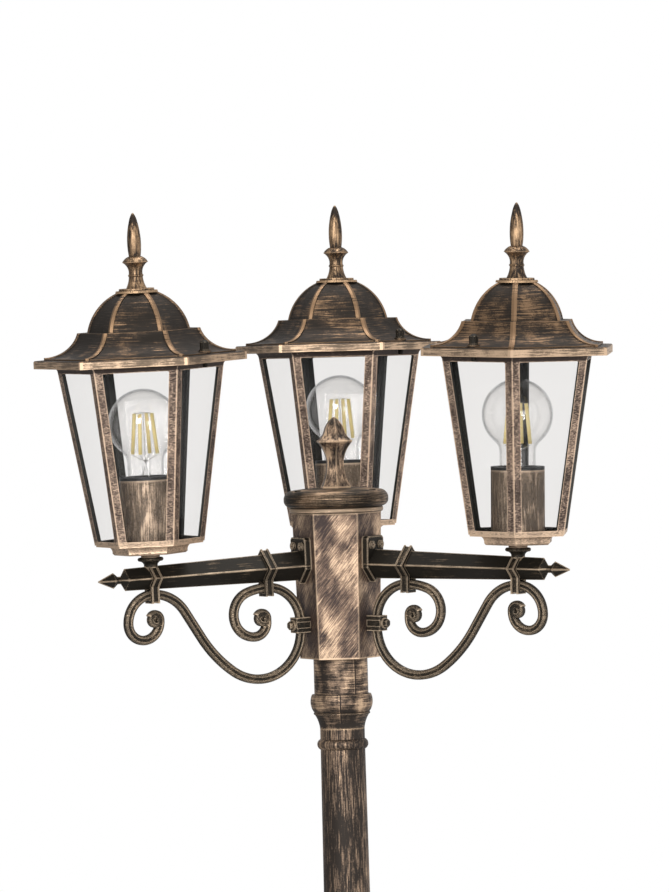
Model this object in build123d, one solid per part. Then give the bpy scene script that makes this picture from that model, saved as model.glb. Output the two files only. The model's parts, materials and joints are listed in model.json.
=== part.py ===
from build123d import *
import os
from math import asin, atan, cos, degrees, radians, sin, sqrt, tan

os.makedirs("parts", exist_ok=True)

# A garden lamp post with three hexagonal lanterns on scrolled arms.
# Frame: millimetres, +Z up, origin on the ground under the middle of the pole.
# The rear arm points along +Y, the left and right arms lean towards -Y at 120 degrees to it.

# ---------------------------------------------------------------- driving dimensions
ARMS = {"left": 210, "right": -30, "rear": 90}          # azimuth of each arm, degrees
TURNS = {"left": -1, "right": -33, "rear": -63}         # how far each lantern is turned on its stem
ARM_HEIGHT = 1890.0          # arm axis above the ground, at the pole axis
STEM_REACH = 178.2           # pole axis to lantern axis, along the arm
HUB_DRAFT = 1.5              # the hub narrows downwards, so the arms on its faces droop by as much
FIT = 0.05                   # radial clearance of a turning fit
GAP = 0.2                    # clearance between faces that meet but must not rub
HEX = cos(radians(30))       # a hexagon's apothem over its corner radius

# hub, heights from the arm axis
HUB_TOP, HUB_BOTTOM = 43.2, -81.0
HUB_CORNER = 38.1            # corner radius at the top
HUB_WALL, HUB_FLOOR = 4.0, 5.0
CABLE_WAY = 24.0             # bore for the cables through neck and pole
WIRE_HOLE = 9.0              # bore for each lantern's own wires
TERMINAL_Z, TERMINAL_STAND = -14.0, 10.0     # terminal block, and the height of its foot on the wall
CAP_RING_R, CAP_RING_H = HUB_CORNER + 1.9, 4.5
CAP_R, CAP_H, CAP_CROWN = CAP_RING_R + 4.6, 14.2, 1.7
CAP_ROUND, CAP_UNDER_ROUND = 6.8, 5.4        # rounding of the cap's rim, above and below
CAP_SPIGOT_H = 5.0
CAP_SCREW_R = CAP_R - 8.1    # pitch radius of the cap screws
CAP_LAND_R = 14.4            # flat seat of the finial on the cap
HUB_EDGE_ROUND = 1.0         # rounding of the hub's upright edges
HUB_FINIAL_H = 60.3
HUB_FINIAL_FOOT, HUB_FINIAL_WAIST, HUB_FINIAL_WIDE = 11.9, 6.9, 14.1     # across its flats, halved
HUB_FINIAL_TURN = -20.0      # where its screw thread stops

# arm, along its own axis
ARM_HALF, ARM_END_HALF = 12.75, 9.6      # half diagonal of the diamond bar at hub and outer end
ARM_END = STEM_REACH + 25.3
BUD_HALF, BUD_LENGTH = 6.7, 18.0
NECK_HALF, NECK_LENGTH = 3.2, 3.0
FLANGE_T, FLANGE_W = 6.1, 25.6
FLANGE_TOP, FLANGE_POINT = 23.8, 15.6    # above and below the arm axis
FLANGE_ROUND = 0.7           # rounding of the flange's outer edges
FLANGE_SCREW_Z, FLANGE_SCREW_Y = 16.4, 6.9
RIDGE_ROUND = 0.7            # rounding of the arm's long edges

# scroll, a grooved round-edged bar bent in the plane of its arm
BAR_W, BAR_D, BAR_ROUND = 8.0, 7.0, 2.6
GROOVE_R, GROOVE_DEPTH = 1.9, 0.9
SADDLE_Z = -50.3             # height where the hub carries the scroll
SADDLE_H, SADDLE_WALL, SADDLE_BACK = 13.0, 2.6, 3.0
SADDLE_RUN = 3.0             # straight length of bar on either side of the saddle's middle
BOWL_R = STEM_REACH / 3 - 19.4   # first bend of the lower half, so that it spans the arm
EYE_TURN = BAR_W * 0.55      # last bend, just wider than the bar's inner side
EYE_R, EYE_DIMPLE = EYE_TURN * 1.5, 2.6
STRAP_W, STRAP_T, STRAP_EDGE = 7.4, 2.2, 0.8
STRAP_SLACK = 0.4            # under the bar, which bows inside the strap's width

# lantern, heights from the arm axis along the lantern's own axis
CUP_TOP = 17.2               # top of the seat that the lantern turns on
CUP_R, CUP_FOOT_R = 10.9, 5.8
BOSS_R = 8.0
NIPPLE_R = 5.0
TRAY_BOTTOM, TRAY_STEP, TRAY_TOP = 20.3, 28.0, 29.4
FRAME_BOTTOM_CORNER, FRAME_TOP_CORNER = 46.3, 70.0
TRAY_BOTTOM_CORNER, TRAY_STEP_CORNER, TRAY_EDGE_CORNER = 31.8, 35.6, FRAME_BOTTOM_CORNER - 1.1
NUT_WELL_R, NUT_WELL_FLOOR = 17.0, 24.0
FRAME_TOP = 176.5            # underside of the cornice
FRAME_WALL = 2.6
BAR_FLANGE = 7.0             # width of each corner bar on either side of its corner
RAIL_BOTTOM, RAIL_TOP = 3.4, 1.2
WINDOW_ROUND = 1.2
CORNICE_CORNER, CORNICE_EDGE = FRAME_TOP_CORNER + 7.5, 2.4
PANE_T = 2.0
BRIM_CORNER, BRIM_TOP = CORNICE_CORNER + 12.5, FRAME_TOP + 10.5
LIP_BOTTOM = BRIM_TOP - 6.8
ROOF_WALL, LIP_WALL = 2.6, 2.2
FLARE_FOOT, FLARE_STEP = BRIM_CORNER - 19.9, 1.3     # apothem and height of the step under the skirt
LEDGE_CORNER, LEDGE_Z = BRIM_CORNER - 39.1, BRIM_TOP + 21.6
DOME_CORNER, DOME_CENTRE_Z, DOME_TOP = LEDGE_CORNER - 7.5, BRIM_TOP + 12.8, BRIM_TOP + 53.3
HIP_RIB_W, HIP_RIB_RISE = 4.6, 0.9           # raised band along every hip
SEAT_LAND = BRIM_CORNER - 30.0   # apothem from which the roof rests on the cornice
SCREW_REACH = BRIM_CORNER - 24.5     # thumb screws, from the lantern axis
SCREW_ANGLES = (120, -60)
SCREW_R, SCREW_END = 2.2, FRAME_TOP - 0.5
PAD_R, PAD_TOP = 5.4, BRIM_TOP + 2.6

# lamp
SLEEVE_R, SLEEVE_WALL, SLEEVE_TOP = 22.7, 1.8, 83.0
HOLDER_LIP = 2.6
BULB_R, BULB_TOP = 30.0, 159.5
BULB_NECK_R = 15.2
BULB_WALL = 1.0
LAMP_LENGTH = 105.0
LAMP_CAP_R, LAMP_CAP_H = 13.2, 25.0
STEM_TOP = 20.5              # glass stem inside the bulb, above the cap
STICK_LOW, STICK_HIGH = 24.5, 59.0           # ends of the four filaments, above the cap
STICK_LOW_R, STICK_HIGH_R = 11.8, 6.8

# pole, heights from the ground
BASE_CORNER, BASE_T = 122.0, 12.0
ANCHOR_R, ANCHOR_HOLE_R, ANCHOR_SEAT_R = 94.0, 5.5, 11.5
PEDESTAL_TOP = 262.0
COUPLING_BOTTOM, COUPLING_TOP = 960.0, 1016.0
LOWER_R, LOWER_TOP_R = 30.0, 25.0
UPPER_R, UPPER_TOP_R = 23.0, 19.0
NECK_R, NECK_RING_R = 23.0, 26.5
NECK_RING_Z, NECK_RING_H = -119.0, 14.0      # from the arm axis
NECK_BOTTOM_Z = -141.0

# ---------------------------------------------------------------- worked-out places
HUB_APOTHEM = HUB_CORNER * HEX


def hub_face(z):
    """Distance from the pole axis to a hub face at height z from the arm axis."""
    return HUB_APOTHEM - (HUB_TOP - z) * tan(radians(HUB_DRAFT))


HUB_SEAT = hub_face(0) * cos(radians(HUB_DRAFT))      # the hub's face, measured along a drooping arm
ARM_START = HUB_SEAT + FLANGE_T                      # outer face of the arm's flange
ARM_TAPER = (ARM_HALF - ARM_END_HALF) / (ARM_END - ARM_START)


def arm_half(x):
    """Half diagonal of the tapering arm at distance x from the pole axis."""
    return ARM_HALF - ARM_TAPER * (x - ARM_START)


def scroll_centre(x):
    """Height of the scroll's centre line where it lies against the arm's lower edge."""
    return -arm_half(x) - BAR_W / 2 - GAP / 2


def frame_apothem(z):
    """Apothem of the lantern cage's outer faces at height z."""
    rise = (z - TRAY_TOP) / (FRAME_TOP - TRAY_TOP)
    return HEX * (FRAME_BOTTOM_CORNER + (FRAME_TOP_CORNER - FRAME_BOTTOM_CORNER) * rise)


SCROLL_START = HUB_SEAT + SADDLE_BACK + BAR_W / 2
# quarter turn from the saddle that ends against the arm's lower edge
CREST_R = (scroll_centre(SCROLL_START) - SADDLE_Z - SADDLE_RUN) / (1 - ARM_TAPER)
CREST_X = SCROLL_START + CREST_R
BRIM_APOTHEM = BRIM_CORNER * HEX
LEDGE_APOTHEM = LEDGE_CORNER * HEX
FLARE_RISE = LEDGE_Z - BRIM_TOP - FLARE_STEP
FLARE_R = ((FLARE_FOOT - LEDGE_APOTHEM) ** 2 + FLARE_RISE ** 2) / (2 * FLARE_RISE)
FLARE_CENTRE_Z = BRIM_TOP + FLARE_STEP + FLARE_R
PLATE_UNDER = BRIM_TOP - ROOF_WALL
CORNICE_TOP = PLATE_UNDER - GAP
BULB_CENTRE = BULB_TOP - BULB_R
LAMP_BOTTOM = BULB_TOP - LAMP_LENGTH
GLASS_BOTTOM = LAMP_BOTTOM + LAMP_CAP_H
HOLDER_TOP = SLEEVE_TOP + HOLDER_LIP


def arm_frame(name):
    """Where an arm lives: x outwards along the arm, z up at a right angle to it."""
    return Pos(0, 0, ARM_HEIGHT) * Rot(0, 0, ARMS[name]) * Rot(0, HUB_DRAFT, 0)


def lantern_frame(name):
    """Where a lantern lives: z is its stem, and a flat side faces x."""
    return arm_frame(name) * Pos(STEM_REACH, 0, 0) * Rot(0, 0, TURNS[name])


# ---------------------------------------------------------------- shared shapes
def turned(*edges):
    """A lathe-turned solid from half an outline, (radius, height), that starts and ends on the axis."""
    axis_line = Line(edges[-1] @ 1, edges[0] @ 0)
    return revolve(Plane.XZ * make_face(Curve() + [*edges, axis_line]), axis=Axis.Z)


def six_sided(*edges):
    """A hexagonal solid from half a section across the flats, given as (apothem, height).

    Three crossing bars of the same section leave a hexagon at every height, so an arc in the
    section runs round all six sides as a true curved face.
    """
    half = Curve() + list(edges)
    section = Plane.XZ * make_face(half + mirror(half, about=Plane.YZ))
    bar = extrude(section, amount=2 * BASE_CORNER, both=True)
    return bar & Rot(0, 0, 60) * bar & Rot(0, 0, 120) * bar


def crown(radius, z, rise):
    """Arc over a turned piece, level at the axis: from (radius, z) up to (0, z + rise)."""
    ball = (radius ** 2 + rise ** 2) / (2 * rise)
    middle = radius / 2
    return ThreePointArc(
        (radius, z), (middle, z + rise - ball + sqrt(ball ** 2 - middle ** 2)), (0, z + rise)
    )


def rounded_rim(radius, bottom, top, under, over):
    """The round edge of a disc in two quarter turns: `under` and `over` are how far each reaches in."""
    share = 1 - sqrt(0.5)
    widest = bottom + (top - bottom) * under / (under + over)
    return (
        ThreePointArc(
            (radius - under, bottom),
            (radius - under * share, bottom + (widest - bottom) * share),
            (radius, widest),
        ),
        ThreePointArc(
            (radius, widest),
            (radius - over * share, top - (top - widest) * share),
            (radius - over, top),
        ),
    )


def tube(radius, bottom, top):
    """A plain cylinder on the z axis between two heights."""
    return Pos(0, 0, bottom) * Cylinder(radius, top - bottom, align=(Align.CENTER, Align.CENTER, Align.MIN))


def diamond(x, half):
    """A square standing on its corner, across the arm at distance x."""
    return Plane.YZ.offset(x) * RegularPolygon(half, 4)


def tangent_chain(start, heading, pieces):
    """Straights and arcs that run into each other: (radius, turn) is an arc, (0, length) a line."""
    edges, point = [], Vector(*start)
    direction = Vector(cos(radians(heading)), sin(radians(heading)))
    for radius, amount in pieces:
        if radius == 0:
            edges.append(Line(point, point + direction * amount))
        else:
            edges.append(JernArc(point, direction, radius, amount))
        point, direction = edges[-1] @ 1, edges[-1] % 1
    return edges


# ---------------------------------------------------------------- pole
def base_pedestal():
    """Cast foot: a hexagonal flange, a hollow bell and a moulded column."""
    apothem, waist, column = BASE_CORNER * HEX, 41.0, 34.0
    bell_top = 118.0
    outside = [
        Line((0, 0), (apothem, 0)),
        Line((apothem, 0), (apothem, BASE_T)),
        Line((apothem, BASE_T), (apothem - 10, BASE_T + 6)),
        ThreePointArc((apothem - 10, BASE_T + 6), (waist + 13, 46), (waist, bell_top)),
        Line((waist, bell_top), (waist + 5, bell_top + 4)),
        Line((waist + 5, bell_top + 4), (waist + 5, bell_top + 10)),
        Line((waist + 5, bell_top + 10), (column + 2, bell_top + 15)),
        Line((column + 2, bell_top + 15), (column, PEDESTAL_TOP - 14)),
        Line((column, PEDESTAL_TOP - 14), (column + 4, PEDESTAL_TOP - 8)),
        Line((column + 4, PEDESTAL_TOP - 8), (column + 4, PEDESTAL_TOP)),
        Line((column + 4, PEDESTAL_TOP), (0, PEDESTAL_TOP)),
    ]
    inside = [
        Line((0, 0), (apothem - 32, 0)),
        ThreePointArc((apothem - 32, 0), (waist + 3, 42), (waist - 8, bell_top - 6)),
        Line((waist - 8, bell_top - 6), (0, bell_top - 6)),
    ]
    body = six_sided(*outside) - six_sided(*inside) - tube(CABLE_WAY / 2, 0, PEDESTAL_TOP)
    for azimuth in ARMS.values():
        place = Rot(0, 0, azimuth) * Pos(ANCHOR_R, 0, 0)
        body -= place * tube(ANCHOR_HOLE_R, -1, BASE_T) + place * tube(ANCHOR_SEAT_R, BASE_T, PEDESTAL_TOP)
    return body


def pole_tube(bottom, bottom_r, top, top_r, foot_h=26.0, bead_h=9.0, bead=4.0):
    """A tapered hollow pole length with a turned foot and a bead under its top."""
    foot_r = bottom_r + bead
    shoulder = top - bead_h * 2
    edges = [
        Line((0, bottom), (foot_r, bottom)),
        Line((foot_r, bottom), (foot_r, bottom + foot_h * 0.45)),
        ThreePointArc(
            (foot_r, bottom + foot_h * 0.45),
            (bottom_r + bead * 0.3, bottom + foot_h * 0.65),
            (bottom_r, bottom + foot_h),
        ),
        Line((bottom_r, bottom + foot_h), (top_r, shoulder)),
        ThreePointArc(
            (top_r, shoulder), (top_r + bead * 0.7, shoulder + bead_h / 2), (top_r, shoulder + bead_h)
        ),
        Line((top_r, shoulder + bead_h), (top_r, top)),
        Line((top_r, top), (0, top)),
    ]
    return turned(*edges) - tube(CABLE_WAY / 2, bottom, top)


def pole_coupling():
    """The ringed casting that joins the two pole lengths."""
    bottom_r, top_r, ring_r = LOWER_TOP_R + 5, UPPER_R + 5, LOWER_TOP_R + 11
    middle = (COUPLING_BOTTOM + COUPLING_TOP) / 2
    edges = [
        Line((0, COUPLING_BOTTOM), (bottom_r, COUPLING_BOTTOM)),
        Line((bottom_r, COUPLING_BOTTOM), (bottom_r, COUPLING_BOTTOM + 8)),
        ThreePointArc(
            (bottom_r, COUPLING_BOTTOM + 8), (bottom_r + 1, middle - 12), (ring_r - 2, middle - 6)
        ),
        ThreePointArc((ring_r - 2, middle - 6), (ring_r, middle), (ring_r - 2, middle + 6)),
        ThreePointArc((ring_r - 2, middle + 6), (top_r + 1.5, middle + 12), (top_r, COUPLING_TOP - 8)),
        Line((top_r, COUPLING_TOP - 8), (top_r, COUPLING_TOP)),
        Line((top_r, COUPLING_TOP), (0, COUPLING_TOP)),
    ]
    return turned(*edges) - tube(CABLE_WAY / 2, COUPLING_BOTTOM, COUPLING_TOP)


def hub_neck():
    """The turned casting between hub and pole, with its ring and concave taper."""
    ring_low, ring_high = NECK_RING_Z - NECK_RING_H / 2, NECK_RING_Z + NECK_RING_H / 2
    shoulder, lip = NECK_RING_R - 2.1, NECK_RING_R - 3.0
    edges = [
        Line((0, NECK_BOTTOM_Z), (UPPER_TOP_R, NECK_BOTTOM_Z)),
        ThreePointArc(
            (UPPER_TOP_R, NECK_BOTTOM_Z),
            (UPPER_TOP_R + 1.3, NECK_BOTTOM_Z + 6),
            (lip - 0.4, ring_low - 3.2),
        ),
        ThreePointArc((lip - 0.4, ring_low - 3.2), (lip + 0.6, ring_low - 2.2), (lip, ring_low - 1.2)),
        Line((lip, ring_low - 1.2), (shoulder, ring_low)),
        ThreePointArc((shoulder, ring_low), (NECK_RING_R, NECK_RING_Z), (NECK_RING_R - 1.3, ring_high)),
        Line((NECK_RING_R - 1.3, ring_high), (NECK_R, ring_high)),
        Line((NECK_R, ring_high), (NECK_R, HUB_BOTTOM)),
        Line((NECK_R, HUB_BOTTOM), (0, HUB_BOTTOM)),
    ]
    return Pos(0, 0, ARM_HEIGHT) * (turned(*edges) - tube(CABLE_WAY / 2, NECK_BOTTOM_Z, HUB_BOTTOM))


# ---------------------------------------------------------------- hub
def hub_body():
    """Hexagonal hollow hub with drafted faces, a floor and a wire hole behind each arm."""
    bottom = hub_face(HUB_BOTTOM)
    outer = six_sided(
        Line((0, HUB_BOTTOM), (bottom, HUB_BOTTOM)),
        Line((bottom, HUB_BOTTOM), (HUB_APOTHEM, HUB_TOP)),
        Line((HUB_APOTHEM, HUB_TOP), (0, HUB_TOP)),
    )
    outer = fillet(outer.edges().filter_by(lambda edge: edge.length > HUB_TOP - HUB_BOTTOM), HUB_EDGE_ROUND)
    floor = HUB_BOTTOM + HUB_FLOOR
    inside_foot = hub_face(floor) - HUB_WALL
    inner = six_sided(
        Line((0, floor), (inside_foot, floor)),
        Line((inside_foot, floor), (HUB_APOTHEM - HUB_WALL, HUB_TOP)),
        Line((HUB_APOTHEM - HUB_WALL, HUB_TOP), (0, HUB_TOP)),
    )
    shell = Rot(0, 0, 30) * (outer - inner)             # flats towards the arms
    body = Pos(0, 0, ARM_HEIGHT) * (shell - tube(CABLE_WAY / 2, HUB_BOTTOM, floor))
    wire_hole = Pos(HUB_APOTHEM, 0, 0) * Rot(0, 90, 0) * Cylinder(WIRE_HOLE / 2, 20)
    for name in ARMS:
        body -= arm_frame(name) * wire_hole
    return body


def hub_cap():
    """Round cap on the hub: a ring, a rounded disc, a slight crown and a spigot inside the hub."""
    spigot_r = HUB_APOTHEM - HUB_WALL - GAP
    ring_top = HUB_TOP + CAP_RING_H
    rim_top = ring_top + CAP_H
    edges = [
        Line((0, HUB_TOP - CAP_SPIGOT_H), (spigot_r, HUB_TOP - CAP_SPIGOT_H)),
        Line((spigot_r, HUB_TOP - CAP_SPIGOT_H), (spigot_r, HUB_TOP)),
        Line((spigot_r, HUB_TOP), (CAP_RING_R - 1, HUB_TOP)),
        ThreePointArc(
            (CAP_RING_R - 1, HUB_TOP), (CAP_RING_R, HUB_TOP + CAP_RING_H / 2), (CAP_RING_R - 1, ring_top)
        ),
        Line((CAP_RING_R - 1, ring_top), (CAP_R - CAP_UNDER_ROUND, ring_top)),
        *rounded_rim(CAP_R, ring_top, rim_top, CAP_UNDER_ROUND, CAP_ROUND),
        ThreePointArc(
            (CAP_R - CAP_ROUND, rim_top),
            (CAP_R * 0.62, rim_top + CAP_CROWN * 0.7),
            (CAP_LAND_R, rim_top + CAP_CROWN),
        ),
        Line((CAP_LAND_R, rim_top + CAP_CROWN), (0, rim_top + CAP_CROWN)),
    ]
    body = Pos(0, 0, ARM_HEIGHT) * turned(*edges)
    for azimuth in ARMS.values():
        body -= cap_screw_place(azimuth) * tube(3.2, -2.0, 5.0)
    return body


def cap_screw_place(azimuth):
    """The floor of a cap screw's counterbore."""
    rim_top = HUB_TOP + CAP_RING_H + CAP_H
    return Pos(0, 0, ARM_HEIGHT) * Rot(0, 0, azimuth) * Pos(CAP_SCREW_R, 0, rim_top - 1.0)


def pan_screw(head_r, head_h, shank_r, shank_l):
    """A pan-head screw with a cross slot, head on top, seated at z = 0."""
    slot = Pos(0, 0, head_h) * Box(head_r * 1.1, head_r * 0.28, head_h)
    head = tube(head_r, 0, head_h)
    head = fillet(head.edges().group_by(Axis.Z)[-1], head_h * 0.45)
    return head + tube(shank_r, -shank_l, 0) - slot - Rot(0, 0, 90) * slot


def hub_cap_screws():
    """Three screws sunk in the cap, one above each arm."""
    screw = pan_screw(2.9, 1.8, 1.9, 1.8)
    return [cap_screw_place(azimuth) * screw for azimuth in ARMS.values()]


def hub_finial():
    """Six-sided finial on the cap: flared foot, waist, sharp wide edge and an ogee point."""
    base = HUB_TOP + CAP_RING_H + CAP_H + CAP_CROWN
    foot, waist, wide, top = HUB_FINIAL_FOOT, HUB_FINIAL_WAIST, HUB_FINIAL_WIDE, HUB_FINIAL_H
    waist_z, edge_z, ogee = top * 0.38, top * 0.648, (wide * 0.61, top * 0.785)
    body = six_sided(
        Line((0, 0), (foot, 0)),
        Line((foot, 0), (foot, 0.8)),
        ThreePointArc((foot, 0.8), (waist + 1.2, waist_z * 0.5), (waist, waist_z)),
        ThreePointArc((waist, waist_z), (waist + 2.7, top * 0.535), (wide, edge_z)),
        Line((wide, edge_z), (wide, edge_z + 1.1)),
        ThreePointArc((wide, edge_z + 1.1), (wide * 0.75, top * 0.725), ogee),
        ThreePointArc(ogee, (wide * 0.41, top * 0.908), (0.5, top)),
        Line((0.5, top), (0, top)),
    )
    return Pos(0, 0, ARM_HEIGHT + base) * Rot(0, 0, HUB_FINIAL_TURN + 30) * body


def terminal_block():
    """Three-way connector block inside the hub, with its clamp screws."""
    block = Box(30, 14, 12)
    for step in (-10, 0, 10):
        block += Pos(step, 0, 6) * Box(7.6, 9, 5)
        block -= Pos(step, 0, 8.5) * Cylinder(2.0, 3)
        block -= Pos(step, 0, -1) * Rot(90, 0, 0) * Cylinder(1.8, 20)
    stand = Pos(0, 10.5, 0) * Box(8, 7.0, TERMINAL_STAND)
    reach = hub_face(TERMINAL_Z - TERMINAL_STAND / 2) - HUB_WALL
    return Pos(0, 0, ARM_HEIGHT + TERMINAL_Z) * Rot(0, 0, 180) * Pos(0, reach - 14, 0) * (block + stand)


# ---------------------------------------------------------------- arm, scroll and their fastenings
def arm():
    """Diamond bar with its shield-shaped flange, end chamfer, neck and spear bud."""
    half_w, corner = FLANGE_W / 2, 2.0
    shield = make_face(
        Polyline(
            (0, -FLANGE_POINT), (half_w, -FLANGE_POINT + half_w), (half_w, FLANGE_TOP - corner),
            (half_w - corner, FLANGE_TOP), (corner - half_w, FLANGE_TOP), (-half_w, FLANGE_TOP - corner),
            (-half_w, -FLANGE_POINT + half_w), (0, -FLANGE_POINT),
        )
    )
    body = extrude(Plane.YZ.offset(HUB_SEAT) * shield, amount=FLANGE_T)
    body = fillet(body.faces().sort_by(Axis.X)[-1].edges(), FLANGE_ROUND)
    bar = loft([diamond(ARM_START, ARM_HALF), diamond(ARM_END, ARM_END_HALF)], ruled=True)
    body += fillet(bar.edges().filter_by(lambda edge: edge.length > STEM_REACH / 2), RIDGE_ROUND)
    neck_start = ARM_END + (ARM_END_HALF - NECK_HALF) * 0.6
    bud_start = neck_start + NECK_LENGTH
    stations = [
        (ARM_END, ARM_END_HALF), (neck_start, NECK_HALF), (bud_start, NECK_HALF),
        (bud_start + BUD_LENGTH * 0.22, BUD_HALF), (bud_start + BUD_LENGTH, 0.7),
    ]
    for (near, near_half), (far, far_half) in zip(stations, stations[1:]):
        body += loft([diamond(near, near_half), diamond(far, far_half)], ruled=True)
    for side in (1, -1):
        body -= flange_screw_place(side) * tube(2.1, -FLANGE_T - 1, 1)
    body -= Rot(0, 90, 0) * tube(WIRE_HOLE / 2, HUB_SEAT, STEM_REACH)
    body -= Pos(STEM_REACH, 0, 0) * tube(WIRE_HOLE / 2 - 0.5, 0, ARM_HALF)
    return body


def flange_screw_place(side):
    """The head seat of one of the two screws that hold a flange to the hub."""
    return Pos(ARM_START, side * FLANGE_SCREW_Y, FLANGE_SCREW_Z) * Rot(0, 90, 0)


def scroll_section():
    """Bar section: wide along x, with a groove in both broad sides."""
    section = RectangleRounded(BAR_W, BAR_D, BAR_ROUND)
    offset = BAR_D / 2 + GROOVE_R - GROOVE_DEPTH
    for side in (1, -1):
        section -= Pos(0, side * offset) * Circle(GROOVE_R)
    return section


def scroll_paths():
    """Centre lines from the hub saddle: up to the inner eye, and down and out to the outer eye."""
    start = (SCROLL_START, SADDLE_Z)
    inner = [(0, SADDLE_RUN), (CREST_R, -90), (60.0, -18), (20.0, -72), (19.0, -90), (12.0, -90), (0, 3.0)]

    bowl = [(0, SADDLE_RUN), (BOWL_R, 90), (BOWL_R * 1.125, 36), (BOWL_R * 2.75, 22)]
    point, slope = tangent_chain(start, -90, bowl)[-1] @ 1, radians(58)
    # the last straight and bend have to end level under the lantern stem
    run, drop = STEM_REACH - point.X, scroll_centre(STEM_REACH) - point.Y
    bend = (drop * cos(slope) - run * sin(slope)) / ((1 - cos(slope)) * cos(slope) - sin(slope) ** 2)
    straight = (run - bend * sin(slope)) / cos(slope)
    outer = bowl + [(0, straight), (bend, -58), (24.0, -90), (14.0, -90), (15.5, -90), (0, 1.0)]
    return tangent_chain(start, 90, inner), tangent_chain(start, -90, outer)


def scroll():
    """Grooved bar swept along both centre lines, each ending in a dimpled eye."""
    body = None
    for edges in scroll_paths():
        end, heading = edges[-1] @ 1, edges[-1] % 1
        centre = end + Vector(heading.Y, -heading.X) * EYE_TURN
        curl = JernArc(end, heading, EYE_TURN, -150)
        path = Plane.XZ * (Wire(edges + [curl]))
        side = Vector(0, -1, 0)
        along = path % 0
        start = Plane(origin=path @ 0, x_dir=side.cross(along), z_dir=along)
        half = sweep(start * scroll_section(), path=path)
        eye = Pos(centre.X, 0, centre.Y) * Rot(90, 0, 0) * Cylinder(EYE_R, BAR_D)
        eye = fillet(eye.edges().filter_by(GeomType.CIRCLE), EYE_R - BAR_W * 0.625)
        for face in (1, -1):
            eye -= Pos(centre.X, face * BAR_D / 2, centre.Y) * Sphere(EYE_DIMPLE)
        body = half + eye if body is None else body + half + eye
    return body


def strap(x):
    """Band round arm and scroll at distance x, with a raised edge along both sides."""
    half = arm_half(x) + GAP
    scroll_low = -arm_half(x) - BAR_W - GAP / 2 - STRAP_SLACK

    def outline(grow):
        upper = RegularPolygon(half + grow * sqrt(2), 4)
        lower = Pos(0, (scroll_low - grow) / 2) * Rectangle(BAR_D + 2 * GAP + 2 * grow, -(scroll_low - grow))
        return upper + lower

    def ring(grow, width):
        face = Plane.YZ.offset(x - width / 2) * (outline(grow) - outline(0))
        return extrude(face, amount=width)

    edge_w = STRAP_W * 0.22
    offset = STRAP_W / 2 - edge_w / 2
    body = ring(STRAP_T, STRAP_W)
    for side in (1, -1):
        body += Pos(side * offset, 0, 0) * ring(STRAP_T + STRAP_EDGE, edge_w)
    return body


def lantern_seat():
    """Cup that carries the lantern, its strap round arm and scroll, and the hollow stem."""
    low = arm_half(STEM_REACH) - 1.5
    cup = turned(
        Line((0, low), (CUP_FOOT_R, low)),
        Line((CUP_FOOT_R, low), (CUP_FOOT_R, low + 2.5)),
        ThreePointArc((CUP_FOOT_R, low + 2.5), (CUP_FOOT_R + 1.0, low + 4.3), (CUP_R - 1.0, CUP_TOP - 3.0)),
        ThreePointArc((CUP_R - 1.0, CUP_TOP - 3.0), (CUP_R, CUP_TOP - 1.5), (CUP_R - 1.0, CUP_TOP)),
        Line((CUP_R - 1.0, CUP_TOP), (0, CUP_TOP)),
    )
    stem = tube(NIPPLE_R, CUP_TOP - 1, TRAY_TOP + 2)
    ends = [STEM_REACH - 20, STEM_REACH + 20]
    arm_room = loft([diamond(x, arm_half(x) + GAP / 2) for x in ends], ruled=True)
    body = Pos(STEM_REACH, 0, 0) * (cup + stem) - arm_room + strap(STEM_REACH)
    return body - Pos(STEM_REACH, 0, 0) * tube(WIRE_HOLE / 2 - 1.5, 0, TRAY_TOP + 3)


def hex_head(size, height):
    """A hexagon head, size across the corners, seated at z = 0."""
    head = extrude(RegularPolygon(size / 2, 6), amount=height)
    return chamfer(head.edges().group_by(Axis.Z)[-1], height * 0.15)


def stem_nut():
    """Nut on the stem inside the tray."""
    nut = Pos(0, 0, NUT_WELL_FLOOR + GAP) * hex_head(18.5, 5.5)
    return Pos(STEM_REACH, 0, 0) * (nut - tube(NIPPLE_R + 0.01, TRAY_BOTTOM, TRAY_TOP + 3))


def scroll_saddle():
    """U-shaped block that holds the scroll against the hub, seen from the arm's frame."""
    front = HUB_SEAT + SADDLE_BACK + BAR_W + GAP + SADDLE_WALL
    width = BAR_D + 2 * (SADDLE_WALL + GAP)
    middle = (HUB_SEAT + front) / 2
    block = Pos(middle, 0, SADDLE_Z) * Box(front - HUB_SEAT, width, SADDLE_H)
    block = fillet(block.edges().filter_by(Axis.Z), 1.2)
    for side in (1, -1):
        block -= Pos(middle, side * width / 2, SADDLE_Z) * Box(front - HUB_SEAT, 1.2, SADDLE_H * 0.36)
    slot_start = HUB_SEAT + SADDLE_BACK - GAP / 2
    slot = Pos(slot_start, 0, SADDLE_Z) * Box(
        BAR_W + 2 * GAP, BAR_D + 2 * GAP, SADDLE_H + 2, align=(Align.MIN, Align.CENTER, Align.CENTER)
    )
    return block - slot, front


def saddle_screw(front):
    """Hexagon screw in the outer face of a saddle."""
    return Pos(front, 0, SADDLE_Z) * Rot(0, 90, 0) * (tube(4.6, 0, 1.2) + Pos(0, 0, 1.2) * hex_head(7.6, 3.4))


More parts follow.
